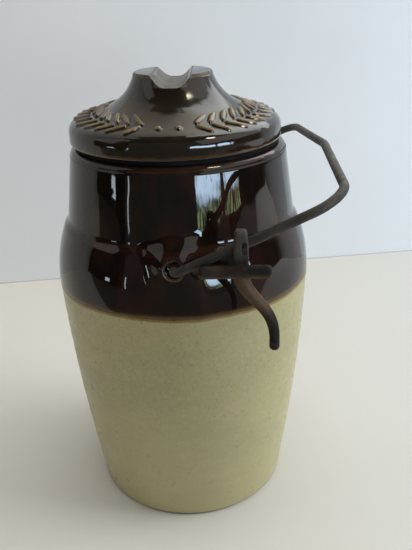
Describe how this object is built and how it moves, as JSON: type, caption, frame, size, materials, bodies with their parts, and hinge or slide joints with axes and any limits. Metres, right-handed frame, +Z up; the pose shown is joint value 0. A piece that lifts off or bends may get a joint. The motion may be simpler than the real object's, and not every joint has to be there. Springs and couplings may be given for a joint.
{
  "type": "butter crock",
  "caption": "Stoneware butter crock: barrel-sided jar with ears, flared lid with a saddle notch, rubber ring, swinging wire bail and a cast clamp lever.",
  "frame": {"origin": "centre of the flat base, on the surface the crock stands on", "axes": "+Z up along the jar's axis; the ears lie on the Y axis; the bail is stored open towards +X and the clamp lever hangs on its -Y leg"},
  "size_m": [0.1185, 0.1314, 0.191],
  "materials": {
    "stoneware": "dipped neck in glossy dark brown slip glaze, lower body in pale semi-matt glaze",
    "lid_glaze": "glossy dark brown slip glaze, paler and ochre on raised edges",
    "ring_rubber": "matt black",
    "bail_wire": "old drawn iron wire, dark with brown rust",
    "lever_iron": "rough casting, grey and rusty brown"
  },
  "bodies": {
    "jar": {"crock": "stoneware", "seal_ring": "ring_rubber"},
    "lid": {"lid": "lid_glaze"},
    "bail": {"bail": "bail_wire"},
    "lever": {"clamp_lever": "lever_iron"}
  },
  "joints": [
    {"name": "bail_swing", "type": "hinge", "parent": "jar", "child": "bail", "pos_m": [0, 0, 0.128], "axis": [0, -1, 0], "range_deg": [-60.5, 188]},
    {"name": "lever_turn", "type": "hinge", "parent": "bail", "child": "lever", "pos_m": [0.02427, -0.06102, 0.14005], "axis": [-0.8912, 0.0999, -0.4424], "range_deg": [-5, 148]},
    {"name": "lid_lift", "type": "slide", "parent": "jar", "child": "lid", "axis": [0, 0, 1], "range_m": [0, 0.06]}
  ]
}
